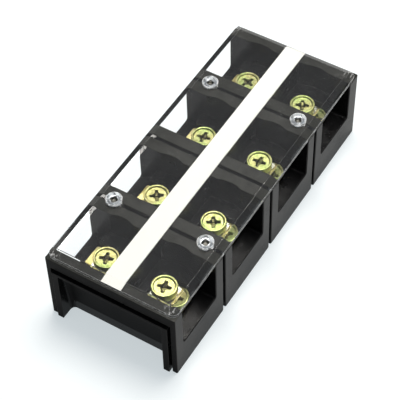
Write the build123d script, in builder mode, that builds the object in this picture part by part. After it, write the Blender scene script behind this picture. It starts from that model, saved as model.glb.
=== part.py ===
"""Four-pole barrier terminal strip with a clear cover plate, in millimetres.

+X runs along the block away from its near end, +Y across it to the left-hand row of
terminals, and +Z up from the panel that the block stands on. The origin is the middle
of the underside.
"""
import os

from build123d import *

# Poles
pole_count = 4
pole_pitch = 46.0
joint_gap = 2.0            # open gap between the outer skins of two poles
block_width = 73.6
body_height = 44.0
edge_radius = 0.6

# Cell, the open pocket that a wire end is laid in
cell_length = 30.4
sill_height = 18.5
window_corner = 1.5
window_edge_break = 0.35
ridge_width = 11.2
cradle_reach = 26.5        # from the middle line to where the cradle steps down to the sill
cradle_height = 28.0
bar_cover = 9.9            # from the middle line, how far the cradle covers the bar
niche_depth = 1.4          # of the round clearance about each terminal screw, in the far wall

# Near end of each pole: a proud collar inside a groove, and a hollow inside the collar
collar_proud = 1.2
collar_wall = 3.3
collar_roof = 1.4
collar_inset = 3.9         # from the block's side to the collar's
collar_top = 36.0
groove_side = 1.2
groove_roof = 1.9
groove_depth = 2.6
tongue_clearance = 0.15
end_hollow_depth = 7.4
end_hollow_depth_top = 3.4
end_hollow_corner = 2.5

# Underside pockets
pocket_height = 12.5
pocket_wall = 3.2
pocket_web = 6.5           # from the middle line to a pocket
pocket_corner = 2.0

# Terminals
terminal_spacing = 33.6    # between the two screws of a pole
bar_width = 16.0
bar_length = 55.4
bar_thickness = 4.0
bar_corner = 1.5
bar_clearance = 0.1
bar_top = 24.0
thread_size = 6.0
thread_clearance = 0.06
bar_hole = 6.6
nut_across_flats = 10.0
nut_thickness = 5.0
nut_clearance = 0.1
washer_side = 12.6
washer_corner = 1.2
washer_thickness = 1.5
washer_hole = 6.5
spring_outer = 11.2
spring_thickness = 1.5
spring_split = 1.0
head_size = 13.2
head_height = 4.2
dish_size = 11.0
dish_depth = 1.0
head_edge = 0.35
recess_span = 7.0
recess_arm = 2.0
recess_depth = 2.6
screw_length = 14.0
tip_chamfer = 0.8

# Cover plate and its screws
cover_end_inset = 1.3
cover_side_inset = 0.35
cover_corner = 3.4
cover_edge_height = 1.6
cover_bevel_width = 3.8
cover_bevel_height = 2.3
cover_top_corner = 0.6
cover_screw_inset = 10.45  # from the block's side to a cover screw
cover_screw_joints = (1, 3)
cover_thread = 4.0
cover_hole = 4.5
cover_seat_web = 1.2
cover_head_size = 7.0
cover_head_sink = 0.5      # from the plate's top down to the head's
cover_head_clearance = 0.6
cover_head_edge = 0.6
cover_recess_span = 4.2
cover_recess_arm = 1.1
cover_recess_depth = 1.4
cover_screw_length = 6.8
cover_nut_side = 7.0
cover_nut_thickness = 3.2
cover_nut_clearance = 0.1
cover_nut_depth = 1.6      # from the top of the block down to the nut

# Marking strip, and the channel that it lies in
strip_width = 11.2
strip_thickness = 0.5
strip_end_inset = 1.5
channel_depth = 0.6
channel_clearance = 0.2

# Holes that fix the block to a panel
fixing_hole = 5.5
fixing_counterbore = 9.8
fixing_counterbore_depth = 5.5
fixing_wall = 0.7          # between the counterbore and the far skin of its pole

# Worked out from the sizes above
half_width = block_width / 2
collar_half_width = half_width - collar_inset
skin_length = pole_pitch - joint_gap
row_length = pole_count * pole_pitch
near_face = -(row_length + collar_proud) / 2 + collar_proud
far_face = near_face + row_length
cell_centre = skin_length / 2
cell_far_wall = cell_centre + cell_length / 2
niche_radius = cell_length / 2 + niche_depth
terminal_y = terminal_spacing / 2
bar_bottom = bar_top - bar_thickness
channel_half = bar_width / 2 + bar_clearance
nut_bottom = bar_bottom - nut_thickness
washer_top = bar_top + washer_thickness
head_seat = washer_top + spring_thickness
head_top = head_seat + head_height
ridge_top = body_height - channel_depth
cover_thickness = cover_edge_height + cover_bevel_height
cover_length = row_length - 2 * cover_end_inset
strip_length = row_length - 2 * strip_end_inset
cover_width = block_width - 2 * cover_side_inset
cover_middle = near_face + row_length / 2
cover_top = body_height + cover_thickness
cover_seat = body_height + cover_seat_web
cover_screw_y = half_width - cover_screw_inset
cover_nut_top = body_height - cover_nut_depth
cover_nut_bottom = cover_nut_top - cover_nut_thickness
fixing_x = skin_length - fixing_wall - fixing_counterbore / 2

os.makedirs("parts", exist_ok=True)


def pole_near(pole):
    """The X of a pole's near face; poles count from 0 at the near end."""
    return near_face + pole * pole_pitch


def joint_middle(joint):
    """The X of the middle of the gap between pole joint - 1 and pole joint."""
    return near_face + joint * pole_pitch - joint_gap / 2


def save(part, name):
    """Labels a finished part and writes it as its own file."""
    part.label = name
    export_step(part, f"parts/{name}.step")


def pole_housing(pole, name):
    """One black moulded pole. The last one is closed and plain at its far end."""
    near = pole_near(pole)
    last = pole == pole_count - 1
    length = pole_pitch if last else skin_length
    across = Plane(origin=(near, 0, 0), x_dir=(0, 1, 0), z_dir=(1, 0, 0))
    with BuildPart() as housing:
        with BuildSketch(Plane(origin=(near + length / 2, 0, 0))):
            RectangleRounded(length, block_width, edge_radius)
        extrude(amount=body_height)

        # Open cells at both sides: the window to the sill, then the higher cradle
        cell = Plane(origin=(near + cell_centre, 0, 0), x_dir=(1, 0, 0), z_dir=(0, -1, 0))
        for side in (-1, 1):
            with BuildSketch(cell.offset(side * cradle_reach)) as window:
                with Locations((0, (sill_height + body_height + window_corner) / 2)):
                    RectangleRounded(cell_length, body_height - sill_height + window_corner, window_corner)
            extrude(amount=side * (half_width - cradle_reach), mode=Mode.SUBTRACT)
            with BuildSketch(cell.offset(side * ridge_width / 2)):
                with Locations((0, (cradle_height + body_height) / 2)):
                    Rectangle(cell_length, body_height - cradle_height)
            extrude(amount=side * (cradle_reach - ridge_width / 2), mode=Mode.SUBTRACT)
            with BuildSketch(cell.offset(side * bar_cover)):
                with Locations((0, (bar_bottom + cradle_height) / 2)):
                    Rectangle(2 * channel_half, cradle_height - bar_bottom)
            extrude(amount=side * (cradle_reach - bar_cover), mode=Mode.SUBTRACT)
        outer_edges = (
            housing.edges()
            .filter_by(lambda e: abs(abs(e.center().Y) - half_width) < 0.01)
            .filter_by(lambda e: abs(e.center().X - near - cell_centre) < cell_length / 2 + 0.01)
            .filter_by(lambda e: sill_height - 0.01 < e.center().Z < body_height - 0.01)
        )
        chamfer(outer_edges, window_edge_break)

        # The bar's way under the middle of the pole
        with BuildSketch(cell):
            with Locations((0, bar_bottom + (bar_thickness + bar_clearance) / 2)):
                Rectangle(2 * channel_half, bar_thickness + bar_clearance)
        extrude(amount=bar_cover, both=True, mode=Mode.SUBTRACT)

        # Round niche in the far wall, about each terminal screw
        for side in (-1, 1):
            with BuildSketch(Plane(origin=(near + cell_centre, side * terminal_y, cradle_height))):
                Circle(niche_radius)
                with Locations((cell_length / 2, 0)):
                    Rectangle(2 * niche_depth, 2 * niche_radius, mode=Mode.INTERSECT)
            extrude(amount=body_height - cradle_height, mode=Mode.SUBTRACT)

        # Ridge top and channel that the marking strip lies in
        channel_start = max(near_face + strip_end_inset - channel_clearance, near)
        channel_end = min(near_face + strip_end_inset + strip_length + channel_clearance, near + length)
        with BuildSketch(Plane(origin=((channel_start + channel_end) / 2, 0, ridge_top))):
            Rectangle(channel_end - channel_start, strip_width + 2 * channel_clearance)
        extrude(amount=channel_depth, mode=Mode.SUBTRACT)

        # Near end: groove, collar and the drafted hollow inside it
        groove_half = collar_half_width + groove_side
        groove_top = collar_top + groove_roof
        with BuildSketch(across):
            with Locations((0, groove_top / 2)):
                Rectangle(2 * groove_half, groove_top)
            with Locations((0, collar_top / 2)):
                Rectangle(2 * collar_half_width, collar_top, mode=Mode.SUBTRACT)
        extrude(amount=groove_depth, mode=Mode.SUBTRACT)
        with BuildSketch(across):
            with Locations((0, collar_top / 2)):
                Rectangle(2 * collar_half_width, collar_top)
        extrude(amount=-collar_proud)
        hollow_half = collar_half_width - collar_wall
        hollow_top = collar_top - collar_roof
        side_view = Plane(origin=(near, 0, 0), x_dir=(1, 0, 0), z_dir=(0, -1, 0))
        with BuildPart(mode=Mode.PRIVATE) as hollow:
            with BuildSketch(side_view):
                with BuildLine():
                    Polyline(
                        (-collar_proud, 0),
                        (end_hollow_depth, 0),
                        (end_hollow_depth_top, hollow_top),
                        (-collar_proud, hollow_top),
                        close=True,
                    )
                make_face()
            extrude(amount=hollow_half, both=True)
            back_corners = hollow.edges().filter_by(
                lambda e: e.center().X > near + end_hollow_depth_top and abs(e.center().Y) > hollow_half - 0.01
                and abs(e.center().Z - hollow_top / 2) < hollow_top / 4
            )
            fillet(back_corners, end_hollow_corner)
        add(hollow.part, mode=Mode.SUBTRACT)

        # Far end: the tongue that enters the next pole's groove
        if not last:
            with BuildSketch(across.offset(skin_length)):
                with Locations((0, (groove_top - tongue_clearance) / 2)):
                    Rectangle(2 * (groove_half - tongue_clearance), groove_top - tongue_clearance)
                with Locations((0, (collar_top + tongue_clearance) / 2)):
                    Rectangle(
                        2 * (collar_half_width + tongue_clearance),
                        collar_top + tongue_clearance,
                        mode=Mode.SUBTRACT,
                    )
            extrude(amount=joint_gap + groove_depth)
            # Bridge across the joint, which carries the marking strip
            with BuildSketch(across.offset(skin_length)):
                with Locations((0, (groove_top - tongue_clearance + ridge_top) / 2)):
                    Rectangle(ridge_width, ridge_top - groove_top + tongue_clearance)
            extrude(amount=joint_gap - tongue_clearance)

        # Pockets in the underside
        pocket_start = near + end_hollow_depth + pocket_wall
        pocket_end = near + skin_length - pocket_wall
        for side in (-1, 1):
            pocket_middle = side * (pocket_web + half_width - pocket_wall) / 2
            with BuildSketch(Plane(origin=((pocket_start + pocket_end) / 2, pocket_middle, 0))):
                RectangleRounded(
                    pocket_end - pocket_start, half_width - pocket_wall - pocket_web, pocket_corner
                )
            extrude(amount=pocket_height, mode=Mode.SUBTRACT)

        # Nut pockets under the bar, with the way out for each screw's tip
        for side in (-1, 1):
            nut_place = Plane(origin=(near + cell_centre, side * terminal_y, nut_bottom))
            with BuildSketch(nut_place):
                RegularPolygon(nut_across_flats / 2 + nut_clearance, 6, major_radius=False)
            extrude(amount=nut_thickness, mode=Mode.SUBTRACT)
            with BuildSketch(nut_place):
                Circle(bar_hole / 2)
            extrude(amount=pocket_height - nut_bottom, mode=Mode.SUBTRACT)

        # Half of each trapped cover nut's pocket and screw hole, at the joints that have them
        for joint in (pole, pole + 1):
            if joint not in cover_screw_joints:
                continue
            for side in (-1, 1):
                place = Plane(origin=(joint_middle(joint), side * cover_screw_y, cover_nut_bottom))
                with BuildSketch(place.offset(-cover_nut_clearance)):
                    Rectangle(*2 * (cover_nut_side + 2 * cover_nut_clearance,))
                extrude(amount=cover_nut_thickness + 2 * cover_nut_clearance, mode=Mode.SUBTRACT)
                with BuildSketch(place.offset(-cover_seat_web)):
                    Circle(cover_hole / 2)
                extrude(amount=body_height, mode=Mode.SUBTRACT)

        # Fixing hole down through the ridge
        with BuildSketch(Plane(origin=(near + fixing_x, 0, 0))):
            Circle(fixing_hole / 2)
        extrude(amount=body_height, mode=Mode.SUBTRACT)
        with BuildSketch(Plane(origin=(near + fixing_x, 0, ridge_top - fixing_counterbore_depth))):
            Circle(fixing_counterbore / 2)
        extrude(amount=body_height, mode=Mode.SUBTRACT)
    save(housing.part, name)


def bus_bar(pole):
    """The flat bar that joins the two terminals of a pole."""
    with BuildPart() as bar:
        with BuildSketch(Plane(origin=(pole_near(pole) + cell_centre, 0, bar_bottom))):
            RectangleRounded(bar_width, bar_length, bar_corner)
            with Locations((0, -terminal_y), (0, terminal_y)):
                Circle(bar_hole / 2, mode=Mode.SUBTRACT)
        extrude(amount=bar_thickness)
    save(bar.part, f"bus_bar_{pole + 1}")


def terminal_nut(x, y, name):
    """Hexagon nut trapped under the bar."""
    with BuildPart() as nut:
        with BuildSketch(Plane(origin=(x, y, nut_bottom))):
            RegularPolygon(nut_across_flats / 2, 6, major_radius=False)
            Circle(thread_size / 2 + thread_clearance, mode=Mode.SUBTRACT)
        extrude(amount=nut_thickness)
    save(nut.part, name)


def square_washer(x, y, name):
    """Square plate washer that presses the wire end on to the bar."""
    with BuildPart() as washer:
        with BuildSketch(Plane(origin=(x, y, bar_top))):
            RectangleRounded(washer_side, washer_side, washer_corner)
            Circle(washer_hole / 2, mode=Mode.SUBTRACT)
        extrude(amount=washer_thickness)
    save(washer.part, name)


def spring_washer(x, y, name):
    """Split spring washer, drawn pressed flat as it is under a tightened screw."""
    with BuildPart() as washer:
        with BuildSketch(Plane(origin=(x, y, washer_top))):
            Circle(spring_outer / 2)
            Circle(washer_hole / 2, mode=Mode.SUBTRACT)
        extrude(amount=spring_thickness)
        slit = Plane(origin=(x + spring_outer / 2, y, washer_top), x_dir=(0, 1, 0), z_dir=(1, 0, 0))
        with BuildSketch(slit):
            with BuildLine():
                Polyline(
                    (-spring_split, 0),
                    (0, 0),
                    (spring_split, spring_thickness),
                    (0, spring_thickness),
                    close=True,
                )
            make_face()
        extrude(amount=-spring_outer / 2, mode=Mode.SUBTRACT)
    save(washer.part, name)


def cross_recess(x, y, top, span, arm, depth):
    """The tapering cross-shaped socket of a screw head, as a solid to cut away."""
    with BuildPart(mode=Mode.PRIVATE) as cross:
        for level, share in ((top, 1.0), (top - depth, 0.45)):
            with BuildSketch(Plane(origin=(x, y, level))):
                Rectangle(span * share, arm * (0.5 + share / 2))
                Rectangle(arm * (0.5 + share / 2), span * share)
        loft()
    return cross.part


def terminal_screw(x, y, name):
    """Terminal screw: a dished round head with a cross recess on a plain shank."""
    with BuildPart() as screw:
        with BuildSketch(Plane(origin=(x, y, 0), x_dir=(1, 0, 0), z_dir=(0, -1, 0))):
            with BuildLine():
                Polyline(
                    (0, head_seat - screw_length),
                    (thread_size / 2 - tip_chamfer, head_seat - screw_length),
                    (thread_size / 2, head_seat - screw_length + tip_chamfer),
                    (thread_size / 2, head_seat),
                    (head_size / 2, head_seat),
                    (head_size / 2, head_top - head_edge),
                    (head_size / 2 - head_edge, head_top),
                    (dish_size / 2 + head_edge, head_top),
                    (dish_size / 2, head_top - dish_depth),
                    (0, head_top - dish_depth),
                    close=True,
                )
            make_face()
        revolve(axis=Axis((x, y, 0), (0, 0, 1)))
        add(
            cross_recess(x, y, head_top - dish_depth, recess_span, recess_arm, recess_depth),
            mode=Mode.SUBTRACT,
        )
    save(screw.part, name)


def cover_plate():
    """Clear bevelled plate with counterbored holes for its four screws."""
    with BuildPart() as cover:
        with BuildSketch(Plane(origin=(cover_middle, 0, body_height))):
            RectangleRounded(cover_length, cover_width, cover_corner)
        extrude(amount=cover_edge_height)
        with BuildSketch(Plane(origin=(cover_middle, 0, body_height + cover_edge_height))):
            RectangleRounded(cover_length, cover_width, cover_corner)
        with BuildSketch(Plane(origin=(cover_middle, 0, cover_top))):
            RectangleRounded(
                cover_length - 2 * cover_bevel_width, cover_width - 2 * cover_bevel_width, cover_top_corner
            )
        loft()
        for joint in cover_screw_joints:
            for side in (-1, 1):
                hole = Plane(origin=(joint_middle(joint), side * cover_screw_y, body_height))
                with BuildSketch(hole):
                    Circle(cover_hole / 2)
                extrude(amount=cover_thickness, mode=Mode.SUBTRACT)
                with BuildSketch(hole.offset(cover_seat_web)):
                    Circle(cover_head_size / 2 + cover_head_clearance)
                extrude(amount=cover_thickness, mode=Mode.SUBTRACT)
    save(cover.part, "cover_plate")


def marking_strip():
    """Thin white strip that carries the circuit names, under the cover."""
    with BuildPart() as strip:
        middle = near_face + strip_end_inset + strip_length / 2
        with BuildSketch(Plane(origin=(middle, 0, ridge_top))):
            Rectangle(strip_length, strip_width)
        extrude(amount=strip_thickness)
    save(strip.part, "marking_strip")


def cover_screw(x, y, name):
    """Screw that holds the cover, with a low head and a smaller cross recess."""
    head_rise = cover_top - cover_head_sink - cover_seat
    tip = cover_seat - cover_screw_length
    with BuildPart() as screw:
        with BuildSketch(Plane(origin=(x, y, tip))):
            Circle(cover_thread / 2)
        extrude(amount=cover_screw_length)
        with BuildSketch(Plane(origin=(x, y, cover_seat))):
            Circle(cover_head_size / 2)
        extrude(amount=head_rise)
        chamfer(screw.edges().filter_by(GeomType.CIRCLE).group_by(Axis.Z)[-1], cover_head_edge)
        add(
            cross_recess(x, y, cover_seat + head_rise, cover_recess_span, cover_recess_arm, cover_recess_depth),
            mode=Mode.SUBTRACT,
        )
    save(screw.part, name)


def cover_nut(x, y, name):
    """Square nut trapped between two poles."""
    with BuildPart() as nut:
        with BuildSketch(Plane(origin=(x, y, cover_nut_bottom))):
            Rectangle(cover_nut_side, cover_nut_side)
            Circle(cover_thread / 2 + thread_clearance, mode=Mode.SUBTRACT)
        extrude(amount=cover_nut_thickness)
    save(nut.part, name)


for pole in range(pole_count):
    last_pole = pole == pole_count - 1
    pole_housing(pole, "end_pole_housing" if last_pole else f"pole_housing_{pole + 1}")
    bus_bar(pole)
    for side, row in ((1, "left"), (-1, "right")):
        place = (pole_near(pole) + cell_centre, side * terminal_y)
        terminal_nut(*place, f"terminal_nut_{row}_{pole + 1}")
        square_washer(*place, f"square_washer_{row}_{pole + 1}")
        spring_washer(*place, f"spring_washer_{row}_{pole + 1}")
        terminal_screw(*place, f"terminal_screw_{row}_{pole + 1}")

cover_plate()
marking_strip()
for joint in cover_screw_joints:
    for side, row in ((1, "left"), (-1, "right")):
        place = (joint_middle(joint), side * cover_screw_y)
        cover_screw(*place, f"cover_screw_{row}_{joint}")
        cover_nut(*place, f"cover_nut_{row}_{joint}")
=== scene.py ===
"""Looks of a four-pole barrier terminal strip.

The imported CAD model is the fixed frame. Sizes are in metres and angles in radians unless a
name says otherwise.
"""
import math
import bpy
import numpy as np
from mathutils import Matrix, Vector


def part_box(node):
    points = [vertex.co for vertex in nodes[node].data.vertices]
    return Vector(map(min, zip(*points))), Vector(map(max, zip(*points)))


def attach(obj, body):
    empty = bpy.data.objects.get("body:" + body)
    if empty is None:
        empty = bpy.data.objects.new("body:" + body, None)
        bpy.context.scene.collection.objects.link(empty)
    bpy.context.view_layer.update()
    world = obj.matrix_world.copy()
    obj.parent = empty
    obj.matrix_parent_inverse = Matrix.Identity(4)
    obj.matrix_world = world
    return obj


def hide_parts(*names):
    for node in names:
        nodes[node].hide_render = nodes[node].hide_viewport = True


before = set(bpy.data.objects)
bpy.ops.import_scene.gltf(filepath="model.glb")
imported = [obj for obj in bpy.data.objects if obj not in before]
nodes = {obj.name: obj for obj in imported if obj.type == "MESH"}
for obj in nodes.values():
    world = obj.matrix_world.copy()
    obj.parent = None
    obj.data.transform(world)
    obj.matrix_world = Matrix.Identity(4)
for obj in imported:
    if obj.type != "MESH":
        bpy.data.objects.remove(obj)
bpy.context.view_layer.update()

# Camera
# A long lens well back from the block, looking down on its hollow near end and its
# right-hand row of windows.
view_azimuth = math.radians(-57.41)
view_elevation = math.radians(50.84)
view_roll = math.radians(-1.66)
view_distance = 0.7411
view_target = np.array([0.0, 0.0, 0.025])
view_slide = (-0.00463, -0.00697)
focal_in_pixels = 1438.5
picture_size = 400
sensor_width_mm = 36.0


def square_to(back, level):
    """Unit vectors right and up, square to back: right = level x back and up = back x right."""
    right = np.cross(level, back)
    right /= np.linalg.norm(right)
    return right, np.cross(back, right)


def stand(thing, right, up, back, place):
    """Puts an object at place with its X along right, its Y along up and its Z along back."""
    axes = np.column_stack([right, up, back, place])
    thing.matrix_world = Matrix(np.vstack([axes, [0.0, 0.0, 0.0, 1.0]]).tolist())
    bpy.context.scene.collection.objects.link(thing)


back = np.array([
    math.sin(view_azimuth) * math.cos(view_elevation),
    -math.cos(view_azimuth) * math.cos(view_elevation),
    math.sin(view_elevation),
])
level_right, level_up = square_to(back, [0.0, 0.0, 1.0])
right = level_right * math.cos(view_roll) + level_up * math.sin(view_roll)
up = level_up * math.cos(view_roll) - level_right * math.sin(view_roll)
eye = view_target + back * view_distance + right * view_slide[0] + up * view_slide[1]
camera_data = bpy.data.cameras.new("camera")
camera_data.sensor_width = sensor_width_mm
camera_data.lens = focal_in_pixels * sensor_width_mm / picture_size
camera_data.clip_start = 0.05
camera_data.clip_end = 20.0
camera = bpy.data.objects.new("camera", camera_data)
stand(camera, right, up, back, eye)
bpy.context.scene.camera = camera
bpy.context.scene.view_settings.view_transform = "Standard"


# Studio
# A white sweep of paper under the block in a dim room, with one wide soft lamp high over the
# far end, so the shadow falls softly in front of the near end. The camera sees white beyond it.
def colour(code):
    """An sRGB hex colour as linear RGBA: c/12.92 below 0.04045, else ((c + 0.055)/1.055)^2.4."""
    share = np.array([int(code[i:i + 2], 16) / 255 for i in (1, 3, 5)])
    linear = np.where(share <= 0.04045, share / 12.92, ((share + 0.055) / 1.055) ** 2.4)
    return (*map(float, linear), 1.0)


def add(tree, kind, inputs=None, stops=(), **settings):
    """Adds a node of one kind. inputs gives each socket a value, or the socket or node that
    feeds it, a node by its first output in use. stops are a colour ramp's places and colours."""
    made = tree.nodes.new(kind)
    for name, value in settings.items():
        setattr(made, name, value)
    for index, (position, code) in enumerate(stops):
        made.color_ramp.elements[index].position = position
        made.color_ramp.elements[index].color = colour(code)
    for name, value in (inputs or {}).items():
        if isinstance(value, bpy.types.Node):
            value = next(output for output in value.outputs if output.enabled)
        if isinstance(value, bpy.types.NodeSocket):
            tree.links.new(value, made.inputs[name])
        else:
            made.inputs[name].default_value = value
    return made


floor_half = 3.0
lit_radius = 0.20              # the paper is pale out to here
dim_radius = 0.45              # and dark grey from here on
far_lift = 0.98                # what the camera sees added there, which makes it white
floor_lift = 0.58              # and round the block, over the lamp's own light
glossy_lift = 0.24             # what reflections show added round the block
room_strength = (0.16, 0.30)   # at the horizon and overhead
white_rise = (0.25, 0.50)      # the sine of the elevation where the camera's white ends
lamp_power = 9.3
lamp_width = 0.62
lamp_place = np.array([0.27, 0.02, 0.96])

floor_mesh = bpy.data.meshes.new("floor")
floor_mesh.from_pydata(
    [(-floor_half, -floor_half, 0), (floor_half, -floor_half, 0),
     (floor_half, floor_half, 0), (-floor_half, floor_half, 0)],
    [], [(0, 1, 2, 3)],
)
floor = bpy.data.objects.new("floor", floor_mesh)
bpy.context.scene.collection.objects.link(floor)
paper = bpy.data.materials.new("white sweep paper")
paper.use_nodes = True
tree = paper.node_tree
tree.nodes.clear()
ray = add(tree, "ShaderNodeLightPath").outputs
seen = add(tree, "ShaderNodeMath", {0: ray["Is Camera Ray"], 1: ray["Is Transmission Ray"]},
           operation="MAXIMUM")
spot = add(tree, "ShaderNodeTexCoord").outputs["Object"]
away = add(tree, "ShaderNodeVectorMath", {0: spot}, operation="LENGTH")
near = add(tree, "ShaderNodeMapRange", {
    "Value": away, "From Min": lit_radius, "From Max": dim_radius, "To Min": 1.0, "To Max": 0.0})
white = add(tree, "ShaderNodeMapRange", {"Value": near, "To Min": far_lift, "To Max": floor_lift})
lift = add(tree, "ShaderNodeMath", {0: seen, 1: white}, operation="MULTIPLY")
share = add(tree, "ShaderNodeMath", {0: near, 1: glossy_lift}, operation="MULTIPLY")
shown = add(tree, "ShaderNodeMath", {0: share, 1: ray["Is Glossy Ray"]}, operation="MULTIPLY")
lift = add(tree, "ShaderNodeMath", {0: lift, 1: shown}, operation="MAXIMUM")
paint = add(tree, "ShaderNodeMix", {"Factor": near, "A": colour("#2E2E2E"),
                                    "B": colour("#C3C3C3")}, data_type="RGBA")
matt = add(tree, "ShaderNodeBsdfDiffuse", {"Color": paint})
glow = add(tree, "ShaderNodeEmission", {"Color": colour("#F1FBFF"), "Strength": lift})
both = add(tree, "ShaderNodeAddShader", {0: matt, 1: glow})
add(tree, "ShaderNodeOutputMaterial", {"Surface": both})
floor_mesh.materials.append(paper)

world = bpy.data.worlds.new("pale room")
world.use_nodes = True
bpy.context.scene.world = world
tree = world.node_tree
tree.nodes.clear()
ray = add(tree, "ShaderNodeLightPath").outputs
seen = add(tree, "ShaderNodeMath", {0: ray["Is Camera Ray"], 1: ray["Is Transmission Ray"]},
           operation="MAXIMUM")
towards = add(tree, "ShaderNodeTexCoord").outputs["Generated"]
height = add(tree, "ShaderNodeSeparateXYZ", {0: towards}).outputs["Z"]
grade = add(tree, "ShaderNodeMapRange", {"Value": height, "To Min": room_strength[0],
                                         "To Max": room_strength[1]})
low = add(tree, "ShaderNodeMapRange", {"Value": height, "From Min": white_rise[0],
                                       "From Max": white_rise[1], "To Min": 1.0, "To Max": 0.0})
seen = add(tree, "ShaderNodeMath", {0: seen, 1: low}, operation="MULTIPLY")
room = add(tree, "ShaderNodeBackground", {"Color": colour("#F4F7FC"), "Strength": grade})
plain = add(tree, "ShaderNodeBackground", {"Color": colour("#FFFFFF"), "Strength": 1.0})
mixed = add(tree, "ShaderNodeMixShader", {0: seen, 1: room, 2: plain})
add(tree, "ShaderNodeOutputWorld", {"Surface": mixed})

lamp_data = bpy.data.lights.new("high soft lamp", "AREA")
lamp_data.shape = "DISK"
lamp_data.size = lamp_width
lamp_data.energy = lamp_power
lamp_data.color = colour("#FFFCF6")[:3]
lamp = bpy.data.objects.new("high soft lamp", lamp_data)
lamp_back = lamp_place / np.linalg.norm(lamp_place)
stand(lamp, *square_to(lamp_back, [0.0, 1.0, 0.0]), lamp_back, lamp_place)


# Poles
# Four housings pressed in a hot mould from black thermoset, hard and slightly glossy, with the
# mould's fine grain. A painted highlight in grey draws each pole's outline along its edges, dust
# and painted light grey the tops of the walls, and the hollow near end is matt and darker.
mm = 0.001


def material(name):
    """A new node material without its usual nodes, and its tree."""
    made = bpy.data.materials.new(name)
    made.use_nodes = True
    made.node_tree.nodes.clear()
    return made, made.node_tree


def dress(made, *names):
    """Gives CAD nodes one material in their first slot."""
    for name in names:
        mesh = nodes[name].data
        mesh.materials.clear()
        mesh.materials.append(made)


housings = ["pole_housing_1", "pole_housing_2", "pole_housing_3", "end_pole_housing"]
noise_low, noise_high = 0.3, 0.7   # nearly all of a noise lies between these
mould_grain = 0.45 * mm            # coarser than the real 0.1 mm grain, so that it shows
grain_depth = 0.04 * mm
flow_mark = 9.0 * mm
broken_edge = 0.45 * mm
dust_patch = 5.0 * mm
dust_and_light_from = 40.0 * mm              # height above which dust and painted light grey the up-facing tops
near_end = -84.9 * mm              # the near end's own faces lie before this X
end_roughness = 0.62
thermoset, tree = material("moulded black thermoset")
place = add(tree, "ShaderNodeTexCoord").outputs["Object"]
spot = add(tree, "ShaderNodeSeparateXYZ", {0: place}).outputs
grain = add(tree, "ShaderNodeTexNoise", {"Vector": place, "Scale": 1 / mould_grain, "Detail": 2.0})
flow = add(tree, "ShaderNodeTexNoise", {"Vector": place, "Scale": 1 / flow_mark, "Detail": 3.0,
                                        "Roughness": 0.6})
shade = add(tree, "ShaderNodeValToRGB", {"Fac": flow},
            stops=[(noise_low, "#0D0D0E"), (noise_high, "#151516")])
sheen = add(tree, "ShaderNodeMapRange", {"Value": flow, "From Min": noise_low,
                                         "From Max": noise_high, "To Min": 0.20, "To Max": 0.28})
edge = add(tree, "ShaderNodeBevel", {"Radius": broken_edge}, samples=6)
flat = add(tree, "ShaderNodeNewGeometry").outputs["True Normal"]
facing = add(tree, "ShaderNodeVectorMath", {0: edge, 1: flat}, operation="DOT_PRODUCT")
turned = add(tree, "ShaderNodeMapRange", {"Value": facing, "From Min": 0.99, "From Max": 0.90,
                                          "To Min": 0.0, "To Max": 0.35})
# Grey mixed in where the bevelled normal turns from the flat face paints the highlight that the
# rounded edges catch.
painted_edge_highlight = add(tree, "ShaderNodeMath", {0: turned, 1: flow}, operation="MULTIPLY")
worn = add(tree, "ShaderNodeMix", {"Factor": painted_edge_highlight, "A": shade, "B": colour("#8C8C8A")},
           data_type="RGBA")
bump = add(tree, "ShaderNodeBump", {"Height": grain, "Normal": edge, "Strength": 0.3,
                                    "Distance": grain_depth})
slope = add(tree, "ShaderNodeSeparateXYZ", {0: flat}).outputs
settled = add(tree, "ShaderNodeMapRange", {"Value": slope["Z"], "From Min": 0.5, "From Max": 0.95})
dust = add(tree, "ShaderNodeTexNoise", {"Vector": place, "Scale": 1 / dust_patch, "Detail": 6.0,
                                        "Roughness": 0.7})
amount = add(tree, "ShaderNodeMapRange", {"Value": dust, "From Min": noise_low,
                                          "From Max": noise_high, "To Min": 0.55, "To Max": 1.0})
dust_and_top_light = add(tree, "ShaderNodeMath", {0: settled, 1: amount}, operation="MULTIPLY")
top = add(tree, "ShaderNodeMath", {0: spot["Z"], 1: dust_and_light_from}, operation="GREATER_THAN")
dust_and_top_light = add(tree, "ShaderNodeMath", {0: dust_and_top_light, 1: top}, operation="MULTIPLY")
# Mixes a lighter grey in patches onto the up-facing tops of the walls: dust, and painted light
# that the tops catch from above.
skin = add(tree, "ShaderNodeMix", {"Factor": dust_and_top_light, "A": worn, "B": colour("#353633")},
           data_type="RGBA")
end = add(tree, "ShaderNodeMath", {0: spot["X"], 1: near_end}, operation="LESS_THAN")
ahead = add(tree, "ShaderNodeMath", {0: slope["X"], 1: -0.5}, operation="LESS_THAN")
matt = add(tree, "ShaderNodeMath", {0: end, 1: ahead}, operation="MULTIPLY")
sheen = add(tree, "ShaderNodeMix", {"Factor": matt, "A": sheen, "B": end_roughness})
surface = add(tree, "ShaderNodeBsdfPrincipled", {
    "Base Color": skin, "Roughness": sheen, "Normal": bump, "IOR": 1.5,
    "Specular IOR Level": 0.15})
add(tree, "ShaderNodeOutputMaterial", {"Surface": surface})
dress(thermoset, *housings)


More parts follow.
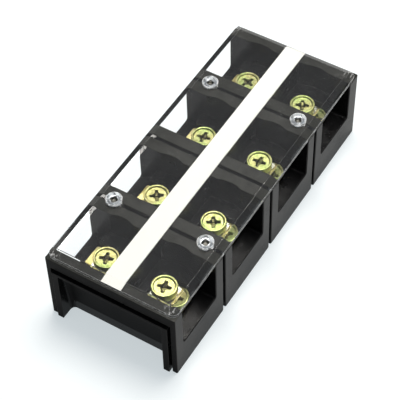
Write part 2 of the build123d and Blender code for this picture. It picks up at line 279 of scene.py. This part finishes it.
# Bus bars
# Flat bars sheared from rolled brass strip, dulled yellow and stained in patches, with fine
# rolling lines along them that draw their gloss out sideways.
bars = [f"bus_bar_{pole}" for pole in (1, 2, 3, 4)]
rolling_line = 0.5 * mm
line_depth = 0.02 * mm
line_stretch = 0.04                # a line is this many times as wide as it is long
stain_patch = 6.0 * mm
sheared_edge = 0.3 * mm
brass, tree = material("rolled brass")
place = add(tree, "ShaderNodeTexCoord").outputs["Object"]
along = add(tree, "ShaderNodeMapping", {"Vector": place, "Scale": (1.0, line_stretch, 1.0)})
lines = add(tree, "ShaderNodeTexNoise", {"Vector": along, "Scale": 1 / rolling_line,
                                         "Detail": 2.0})
stain = add(tree, "ShaderNodeTexNoise", {"Vector": place, "Scale": 1 / stain_patch, "Detail": 3.0})
shade = add(tree, "ShaderNodeValToRGB", {"Fac": stain},
            stops=[(0.35, "#857C49"), (0.65, "#B0A876")])
sheen = add(tree, "ShaderNodeMapRange", {"Value": lines, "To Min": 0.26, "To Max": 0.44})
edge = add(tree, "ShaderNodeBevel", {"Radius": sheared_edge}, samples=6)
bump = add(tree, "ShaderNodeBump", {"Height": lines, "Normal": edge, "Strength": 0.3,
                                    "Distance": line_depth})
surface = add(tree, "ShaderNodeBsdfPrincipled", {
    "Base Color": shade, "Metallic": 1.0, "Roughness": sheen, "Normal": bump})
add(tree, "ShaderNodeOutputMaterial", {"Surface": surface})
dress(brass, *bars)


# Terminal screws
# M6 screws with round heads, cold forged with a raised rim, a dished top and a cross recess,
# then rolled with a thread and dipped for a pale yellow zinc finish.
def grid_faces(rows, columns, closed):
    """Quads of a grid numbered row by row; closed joins the last column to the first."""
    row = np.arange(rows - 1)[:, None]
    column = np.arange(columns if closed else columns - 1)[None, :]
    following = (column + 1) % columns
    corners = np.stack([
        row * columns + column, row * columns + following,
        (row + 1) * columns + following, (row + 1) * columns + column,
    ], axis=-1)
    return corners.reshape(-1, 4)


def make_piece(name, grids, body, made):
    """Joins (points, faces) grids into one mesh, and hangs the object on a CAD body. A third
    item of a grid says how deep each point lies in the recess, from 0 to 1."""
    points = np.concatenate([g[0] for g in grids])
    starts = np.cumsum([0] + [len(g[0]) for g in grids[:-1]])
    faces = np.concatenate([g[1] + s for g, s in zip(grids, starts)])
    mesh = bpy.data.meshes.new(name)
    mesh.from_pydata(points.tolist(), [], faces.tolist())
    mesh.polygons.foreach_set("use_smooth", np.ones(len(faces), bool))
    sunk = np.concatenate([g[2] if len(g) > 2 else np.zeros(len(g[0])) for g in grids])
    depths = mesh.attributes.new("sunk", "FLOAT", "POINT").data
    depths.foreach_set("value", sunk.astype(np.float32))
    mesh.materials.append(made)
    piece = bpy.data.objects.new(name, mesh)
    bpy.context.scene.collection.objects.link(piece)
    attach(piece, body)
    return piece


def smooth_step(value):
    """0 below 0, 1 above 1, and 3v^2 - 2v^3 between."""
    value = np.clip(value, 0.0, 1.0)
    return value * value * (3.0 - 2.0 * value)


def cross_depth(x, y, span, arm, depth, wall):
    """Depth of a cross recess at (x, y): each arm is a trough arm wide and span long, whose
    floor slopes up from the full depth at the middle to 0.45 of it at the ends, and whose walls
    fall within the distance wall. The two arms are joined by a deeper round middle."""
    def trough(along, across):
        half = arm / 2 * (1.0 - 0.25 * np.abs(along) / (span / 2))
        side = smooth_step((half - np.abs(across)) / wall)
        end = smooth_step((span / 2 - np.abs(along)) / (wall * 1.6))
        fall = 1.0 - 0.55 * np.minimum(np.abs(along) / (span / 2), 1.0)
        return depth * fall * side * end
    radius = np.hypot(x, y)
    middle = depth * smooth_step((arm * 0.95 - radius) / (arm * 0.45))
    return np.maximum(np.maximum(trough(x, y), trough(y, x)), middle)


def screw_grids(centre, seat, top, head_radius, dish_radius, dish_depth, edge_radius,
                shank_radius, tip, pitch, recess, turn, turns_around=144):
    """Two surfaces of revolution about the vertical through centre.

    The head runs from its underside out to the rim, up a side rounded by edge_radius, over
    the rim, and down into a dish whose floor is lowered by the cross recess. The shank's
    radius follows a triangle wave along the height plus the angle over a whole turn, which
    makes the thread's helix, and it tapers in over its last turn."""
    angle = np.linspace(0.0, 2 * math.pi, turns_around, endpoint=False)
    bend = np.linspace(0.0, math.pi / 2, 5)
    under = 0.25 * mm
    slope = 0.22 * mm
    rim = head_radius - edge_radius
    socket = recess[0] / 2 + 0.3 * mm
    outer_radii = np.concatenate([
        [shank_radius * 0.9], head_radius - under * (1 - np.sin(bend)),
        rim + edge_radius * np.cos(bend),
    ])
    outer_heights = np.concatenate([
        [seat], seat + under * (1 - np.cos(bend)), top - edge_radius * (1 - np.sin(bend)),
    ])
    inner_radii = np.concatenate([
        np.linspace(rim, dish_radius + slope, 3)[1:],
        np.linspace(dish_radius + slope, dish_radius - slope, 7)[1:],
        np.linspace(dish_radius - slope, socket, 8)[1:],
        np.linspace(socket, 0.02 * mm, 46)[1:],
    ])
    fall = smooth_step((dish_radius + slope - inner_radii) / (2 * slope))
    radii = np.concatenate([outer_radii, inner_radii])
    heights = np.concatenate([outer_heights, top - dish_depth * fall])
    reach, around = np.meshgrid(radii, angle, indexing="ij")
    x = reach * np.cos(around)
    y = reach * np.sin(around)
    sunk = np.where(reach < dish_radius - slope, cross_depth(x, y, *recess), 0.0)
    z = heights[:, None] - sunk
    c, s = math.cos(turn), math.sin(turn)
    head = np.stack([centre[0] + x * c - y * s, centre[1] + x * s + y * c, z], axis=-1)

    steps = int((seat - tip) / pitch * 10)
    level = np.linspace(tip, seat + 0.2 * mm, steps)
    height, around = np.meshgrid(level, angle[::3], indexing="ij")
    phase = (height / pitch - around / (2 * math.pi)) % 1.0
    wave = 1.0 - np.abs(2.0 * phase - 1.0)
    taper = smooth_step((height - tip) / pitch)
    thread = 1.0 - 0.13 * (1.0 - np.clip(wave * 1.25, 0, 1))
    radius = shank_radius * thread * (0.82 + 0.18 * taper)
    shank = np.stack([centre[0] + radius * np.cos(around),
                      centre[1] + radius * np.sin(around), height], axis=-1).reshape(-1, 3)
    count = len(angle[::3])
    cap = np.vstack([shank[:count], np.tile([centre[0], centre[1], tip], (count, 1))])
    return [
        (head.reshape(-1, 3), grid_faces(len(radii), turns_around, True),
         (sunk / recess[2]).reshape(-1)),
        (shank, grid_faces(steps, count, True)),
        (cap, grid_faces(2, count, True)[:, ::-1]),
    ]


def turn_screws(turns, head_height, rim_width, slot, made, **sizes):
    """Replaces CAD screws by finer ones on the same axis, as wide, as high and as long. turns
    gives each screw's name and how far it is turned."""
    for cad_name, turn in turns.items():
        low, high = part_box(cad_name)
        centre = ((low.x + high.x) / 2, (low.y + high.y) / 2)
        head_radius = (high.x - low.x) / 2
        grids = screw_grids(
            centre, seat=high.z - head_height, top=high.z, head_radius=head_radius,
            dish_radius=head_radius - rim_width, tip=low.z, turn=turn, **sizes)
        screw = make_piece(f"{cad_name}_turned", grids, cad_name, made)
        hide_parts(cad_name)


zinc_cloud = 1.6 * mm
film_patch = 11 * mm
pickling_pit = 0.25 * mm
pit_depth = 0.02 * mm
zinc_edge = 0.15 * mm


def zinc(name, light, dark, roughness, worn, film=0.0):
    """Passivated zinc on steel: a cloudy tint from noise, rougher where it is darker. film mixes
    in the green and pink of a thin passivation film, and painted shade darkens the recess."""
    made, tree = material(name)
    place = add(tree, "ShaderNodeTexCoord").outputs["Object"]
    cloud = add(tree, "ShaderNodeTexNoise", {"Vector": place, "Scale": 1 / zinc_cloud,
                                             "Detail": 4.0, "Roughness": 0.6})
    shade = add(tree, "ShaderNodeValToRGB", {"Fac": cloud}, stops=[(0.36, dark), (0.64, light)])
    patch = add(tree, "ShaderNodeTexNoise", {"Vector": place, "Scale": 1 / film_patch,
                                             "Detail": 2.0})
    hue = add(tree, "ShaderNodeValToRGB", {"Fac": patch},
              stops=[(0.40, "#D6F5BE"), (0.60, "#FFE9DF")])
    tinted = add(tree, "ShaderNodeMix", {"Factor": film, "A": shade, "B": hue},
                 data_type="RGBA", blend_type="MULTIPLY")
    # The cross recess is darkened the deeper a point lies in it, as painted shade.
    sunk = add(tree, "ShaderNodeAttribute", attribute_name="sunk").outputs["Fac"]
    painted_recess_shade = add(tree, "ShaderNodeMapRange", {"Value": sunk, "From Min": 0.15, "From Max": 0.5,
                                              "To Min": 0.0, "To Max": 0.85})
    body = add(tree, "ShaderNodeMix", {"Factor": painted_recess_shade, "A": tinted, "B": colour("#3B3520")},
               data_type="RGBA")
    sheen = add(tree, "ShaderNodeMapRange", {
        "Value": cloud, "From Min": noise_low, "From Max": noise_high,
        "To Min": roughness + worn, "To Max": roughness})
    pits = add(tree, "ShaderNodeTexNoise", {"Vector": place, "Scale": 1 / pickling_pit,
                                            "Detail": 1.0})
    edge = add(tree, "ShaderNodeBevel", {"Radius": zinc_edge}, samples=4)
    bump = add(tree, "ShaderNodeBump", {"Height": pits, "Normal": edge, "Strength": 0.25,
                                        "Distance": pit_depth})
    surface = add(tree, "ShaderNodeBsdfPrincipled", {
        "Base Color": body, "Metallic": 1.0, "Roughness": sheen, "Normal": bump})
    add(tree, "ShaderNodeOutputMaterial", {"Surface": surface})
    return made


yellow_zinc = zinc("yellow passivated zinc", "#C3C791", "#92965D", 0.30, 0.12, film=0.5)
left_turns = (0.35, 0.62, 0.15, -0.35)
right_turns = (0.25, 0.55, 0.10, 0.42)
turns = {f"terminal_screw_left_{pole}": turn for pole, turn in enumerate(left_turns, 1)}
turns |= {f"terminal_screw_right_{pole}": turn for pole, turn in enumerate(right_turns, 1)}
turn_screws(
    turns, head_height=4.2 * mm, rim_width=1.2 * mm, slot="yellow_zinc", made=yellow_zinc,
    dish_depth=1.0 * mm, edge_radius=0.35 * mm, shank_radius=3.0 * mm, pitch=1.0 * mm,
    recess=(7.4 * mm, 2.3 * mm, 2.6 * mm, 0.3 * mm))


# Washers
# Square clamp plates and split spring washers under the screw heads, stamped and coiled from
# steel strip and dipped in a paler bath than the screws, so they shine whiter beside the heads.
washers = [f"{kind}_washer_{row}_{pole}" for kind in ("square", "spring")
           for row in ("left", "right") for pole in (1, 2, 3, 4)]
pale_zinc = zinc("pale passivated zinc", "#E2E2D8", "#B0B0A0", 0.22, 0.12, film=0.12)
dress(pale_zinc, *washers)


# Nuts
# Hexagon nuts trapped under the bars, and square nuts trapped between the poles, of steel with
# plain bright zinc, which is bluish and smoother than the screws' yellow.
bright_zinc = zinc("bright zinc", "#E4E7EA", "#C6CBD0", 0.24, 0.10)
nuts = [f"terminal_nut_{row}_{pole}" for row in ("left", "right") for pole in (1, 2, 3, 4)]
nuts += [f"cover_nut_{row}_{joint}" for row in ("left", "right") for joint in (1, 3)]
dress(bright_zinc, *nuts)


# Marking strip
# A strip of white matt plastic card that lies in the channel down the middle, for the names
# of the circuits. It is left blank, and its fibres keep it from shining.
card_fibre = 0.6 * mm
fibre_depth = 0.02 * mm
card, tree = material("white marking card")
place = add(tree, "ShaderNodeTexCoord").outputs["Object"]
fibre = add(tree, "ShaderNodeTexNoise", {"Vector": place, "Scale": 1 / card_fibre, "Detail": 3.0})
shade = add(tree, "ShaderNodeValToRGB", {"Fac": fibre}, stops=[(0.0, "#FAF9F2"), (1.0, "#FFFFFA")])
bump = add(tree, "ShaderNodeBump", {"Height": fibre, "Strength": 0.2, "Distance": fibre_depth})
surface = add(tree, "ShaderNodeBsdfPrincipled", {
    "Base Color": shade, "Roughness": 0.6, "Normal": bump})
add(tree, "ShaderNodeOutputMaterial", {"Surface": surface})
dress(card, "marking_strip")


# Cover plate
# A plate of clear acrylic with a polished bevel all round. Its sawn sides and the walls of its
# four bored holes are satin white, and its upper face holds specks and a thin haze of dust.
# Light passes straight through it for shadows, in place of the light that a clear plate lets down.
polished_edge = 0.25 * mm
edge_line_reach = 0.4 * mm
dust_cloud = 14 * mm
grit_size = 0.5 * mm
saw_mark = 2.5 * mm
tool_mark = 1.8 * mm
glint_streak_width = 1.2 * mm
glint_stretch = 0.25               # a painted glint's streak is this many times as wide as it is long
glint_near, glint_far = 1.5 * mm, 9 * mm
bore_clearance = 0.6 * mm          # between a cover screw's head and its hole
bore_margin = 0.15 * mm            # past a hole's wall, so that the whole wall counts as bored
acrylic, tree = material("clear acrylic")
place = add(tree, "ShaderNodeTexCoord").outputs["Object"]
ray = add(tree, "ShaderNodeLightPath").outputs
passing = add(tree, "ShaderNodeMath", {0: ray["Is Shadow Ray"], 1: ray["Is Diffuse Ray"]},
              operation="MAXIMUM")
clear = add(tree, "ShaderNodeBsdfTransparent", {"Color": colour("#FFFFFF")})
edge = add(tree, "ShaderNodeBevel", {"Radius": polished_edge}, samples=6)
surface = add(tree, "ShaderNodeBsdfPrincipled", {
    "Base Color": colour("#FFFFFF"), "Roughness": 0.02, "IOR": 1.49, "Transmission Weight": 1.0,
    "Normal": edge})

# Dust, grit and saw marks on the plate's outside, as a share of white
face = add(tree, "ShaderNodeNewGeometry").outputs
flat = face["True Normal"]
outside = add(tree, "ShaderNodeMath", {0: 1.0, 1: face["Backfacing"]}, operation="SUBTRACT")
slope = add(tree, "ShaderNodeSeparateXYZ", {0: flat}).outputs
level = add(tree, "ShaderNodeMath", {0: slope["Z"]}, operation="ABSOLUTE")
side = add(tree, "ShaderNodeMath", {0: level, 1: 0.2}, operation="LESS_THAN")
dust = add(tree, "ShaderNodeTexNoise", {"Vector": place, "Scale": 1 / dust_cloud, "Detail": 5.0,
                                        "Roughness": 0.7})
haze = add(tree, "ShaderNodeMapRange", {"Value": dust, "From Min": noise_low,
                                        "From Max": noise_high, "To Min": 0.004, "To Max": 0.011})
saw = add(tree, "ShaderNodeTexNoise", {"Vector": place, "Scale": 1 / saw_mark, "Detail": 3.0})
sawn = add(tree, "ShaderNodeMapRange", {"Value": saw, "From Min": 0.35, "From Max": 0.65,
                                        "To Min": 0.05, "To Max": 0.35})
sawn = add(tree, "ShaderNodeMath", {0: sawn, 1: side}, operation="MULTIPLY")
haze = add(tree, "ShaderNodeMath", {0: haze, 1: sawn}, operation="ADD")
grit = add(tree, "ShaderNodeTexNoise", {"Vector": place, "Scale": 1 / grit_size, "Detail": 1.0})
speck = add(tree, "ShaderNodeMapRange", {"Value": grit, "From Min": 0.68, "From Max": 0.76,
                                         "To Min": 0.0, "To Max": 0.35})
where = add(tree, "ShaderNodeMapRange", {"Value": dust, "From Min": 0.48, "From Max": 0.62})
speck = add(tree, "ShaderNodeMath", {0: speck, 1: where}, operation="MULTIPLY")
haze = add(tree, "ShaderNodeMath", {0: haze, 1: speck}, operation="ADD")
haze = add(tree, "ShaderNodeMath", {0: haze, 1: outside}, operation="MULTIPLY")
white = add(tree, "ShaderNodeBsdfDiffuse", {"Color": colour("#F6F9FA")})
hazed = add(tree, "ShaderNodeMixShader", {0: haze, 1: surface, 2: white})

# Bored walls, which lie within a hole's radius of one of the four screws' axes
corners = [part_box(f"cover_screw_{which}") for which in ("left_1", "right_3")]
axes = [(low + high) / 2 for low, high in corners]
middle = (axes[0] + axes[1]) / 2
spread = (axes[1] - axes[0]) / 2
hole_radius = (corners[0][1].x - corners[0][0].x) / 2 + bore_clearance
offset = add(tree, "ShaderNodeVectorMath", {0: place, 1: tuple(middle)}, operation="SUBTRACT")
offset = add(tree, "ShaderNodeVectorMath", {0: offset}, operation="ABSOLUTE")
offset = add(tree, "ShaderNodeVectorMath", {0: offset, 1: (abs(spread.x), abs(spread.y), 0.0)},
             operation="SUBTRACT")
offset = add(tree, "ShaderNodeVectorMath", {0: offset, 1: (1.0, 1.0, 0.0)}, operation="MULTIPLY")
away = add(tree, "ShaderNodeVectorMath", {0: offset}, operation="LENGTH")
bored = add(tree, "ShaderNodeMath", {0: away, 1: hole_radius + bore_margin}, operation="LESS_THAN")
tooled = add(tree, "ShaderNodeTexNoise", {"Vector": place, "Scale": 1 / tool_mark, "Detail": 2.0})
satin = add(tree, "ShaderNodeMapRange", {"Value": tooled, "From Min": 0.42, "From Max": 0.58,
                                         "To Min": 0.15, "To Max": 0.95})
frost_and_painted_light = add(tree, "ShaderNodeMath", {0: bored, 1: satin}, operation="MULTIPLY")

# Painted highlights along the edges, frosted white where a wide bevel's normal turns away from the
# flat face's
edge_line_bevel = add(tree, "ShaderNodeBevel", {"Radius": edge_line_reach}, samples=6)
turned = add(tree, "ShaderNodeVectorMath", {0: edge_line_bevel, 1: flat}, operation="DOT_PRODUCT")
painted_edge_line = add(tree, "ShaderNodeMapRange", {"Value": turned, "From Min": 0.95, "From Max": 0.88,
                                           "To Min": 0.0, "To Max": 0.7})
painted_edge_line = add(tree, "ShaderNodeMath", {0: painted_edge_line, 1: outside}, operation="MULTIPLY")
frost_and_painted_light = add(tree, "ShaderNodeMath", {0: frost_and_painted_light, 1: painted_edge_line}, operation="MAXIMUM")

# Painted glints at the plate's four corners, as frosted white streaks, by the distance from them
low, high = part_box("cover_plate")
offset = add(tree, "ShaderNodeVectorMath", {0: place, 1: tuple((low + high) / 2)},
             operation="SUBTRACT")
offset = add(tree, "ShaderNodeVectorMath", {0: offset}, operation="ABSOLUTE")
offset = add(tree, "ShaderNodeVectorMath", {0: offset, 1: tuple((high - low) / 2)},
             operation="SUBTRACT")
offset = add(tree, "ShaderNodeVectorMath", {0: offset, 1: (1.0, 1.0, 0.0)}, operation="MULTIPLY")
inward = add(tree, "ShaderNodeVectorMath", {0: offset}, operation="LENGTH")
corner = add(tree, "ShaderNodeMapRange", {"Value": inward, "From Min": glint_near,
                                          "From Max": glint_far, "To Min": 1.0, "To Max": 0.0})
drawn = add(tree, "ShaderNodeMapping", {"Vector": place, "Scale": (glint_stretch, 1.0, 1.0)})
streak = add(tree, "ShaderNodeTexNoise", {"Vector": drawn, "Scale": 1 / glint_streak_width,
                                          "Detail": 3.0})
streak = add(tree, "ShaderNodeMapRange", {"Value": streak, "From Min": 0.52, "From Max": 0.68,
                                          "To Min": 0.0, "To Max": 0.6})
painted_corner_glint = add(tree, "ShaderNodeMath", {0: corner, 1: streak}, operation="MULTIPLY")
painted_corner_glint = add(tree, "ShaderNodeMath", {0: painted_corner_glint, 1: outside}, operation="MULTIPLY")
frost_and_painted_light = add(tree, "ShaderNodeMath", {0: frost_and_painted_light, 1: painted_corner_glint}, operation="MAXIMUM")

# The frost covers the bored walls, which are really satin, and the painted edge highlights and
# corner glints.
frost = add(tree, "ShaderNodeAddShader", {
    0: add(tree, "ShaderNodeBsdfDiffuse", {"Color": colour("#FFFFFF")}),
    1: add(tree, "ShaderNodeBsdfTranslucent", {"Color": colour("#E6EAEC")})})
hazed = add(tree, "ShaderNodeMixShader", {0: frost_and_painted_light, 1: hazed, 2: frost})
through = add(tree, "ShaderNodeMixShader", {0: passing, 1: hazed, 2: clear})
add(tree, "ShaderNodeOutputMaterial", {"Surface": through})
dress(acrylic, "cover_plate")


# Cover screws
# M4 pan head screws of bright zinc, their recess darkened by painted shade, let into round holes
# in the plate.
# Their heads stand on the web that is left below each hole's counterbore.
turn_screws(
    {"cover_screw_left_1": 0.2, "cover_screw_right_1": 0.7,
     "cover_screw_left_3": 0.45, "cover_screw_right_3": -0.2},
    head_height=2.2 * mm, rim_width=1.0 * mm, slot="bright_zinc", made=bright_zinc,
    dish_depth=0.05 * mm, edge_radius=0.9 * mm, shank_radius=2.0 * mm, pitch=0.7 * mm,
    recess=(4.2 * mm, 2.0 * mm, 1.5 * mm, 0.25 * mm))
